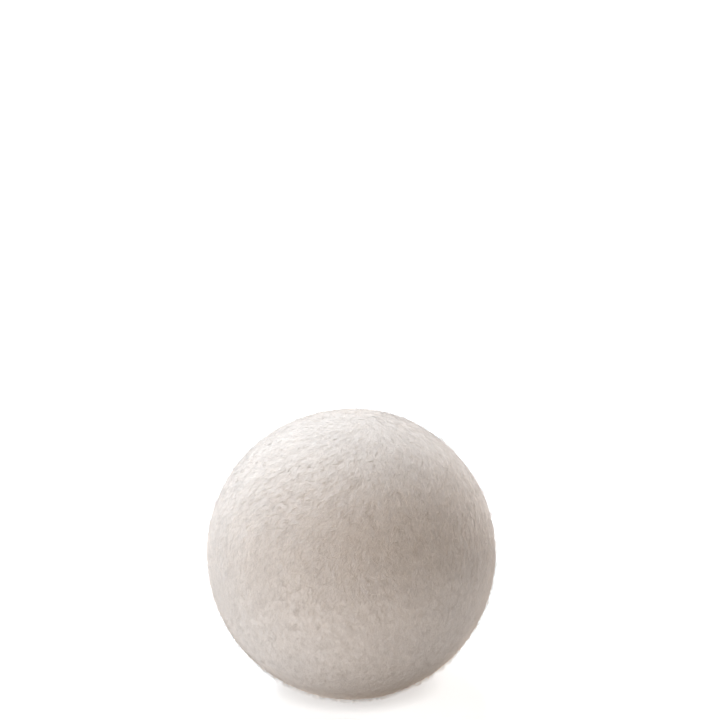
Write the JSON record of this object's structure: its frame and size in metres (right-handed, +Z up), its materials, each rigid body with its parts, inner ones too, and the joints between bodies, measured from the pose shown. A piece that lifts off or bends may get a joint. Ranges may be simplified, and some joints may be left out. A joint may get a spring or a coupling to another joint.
{
  "type": "dryer ball",
  "caption": "Solid ball of felted undyed wool, wound in layers from a tight core and pressed slightly flat where it rests; tumbles loose in a dryer drum.",
  "frame": {"origin": "centre of the small flat that the ball rests on", "axes": "+Z up through the ball's middle, which is its axis of symmetry; +X to the right and +Y away from a person looking at it"},
  "size_m": [0.07, 0.07, 0.0698],
  "materials": {
    "wool_felt": "matted ivory wool felt with short swirling fibre locks",
    "carded_wool": "soft carded ivory wool, combed one way along each strip",
    "core_wool": "tight tangled ivory wool"
  },
  "bodies": {
    "root": {"felt_skin": "wool_felt", "under_batt": "carded_wool", "outer_wrap_a": "carded_wool", "outer_wrap_b": "carded_wool", "outer_wrap_c": "carded_wool", "inner_wrap_a": "carded_wool", "inner_wrap_b": "carded_wool", "inner_wrap_c": "carded_wool", "starter_core": "core_wool"}
  },
  "joints": []
}
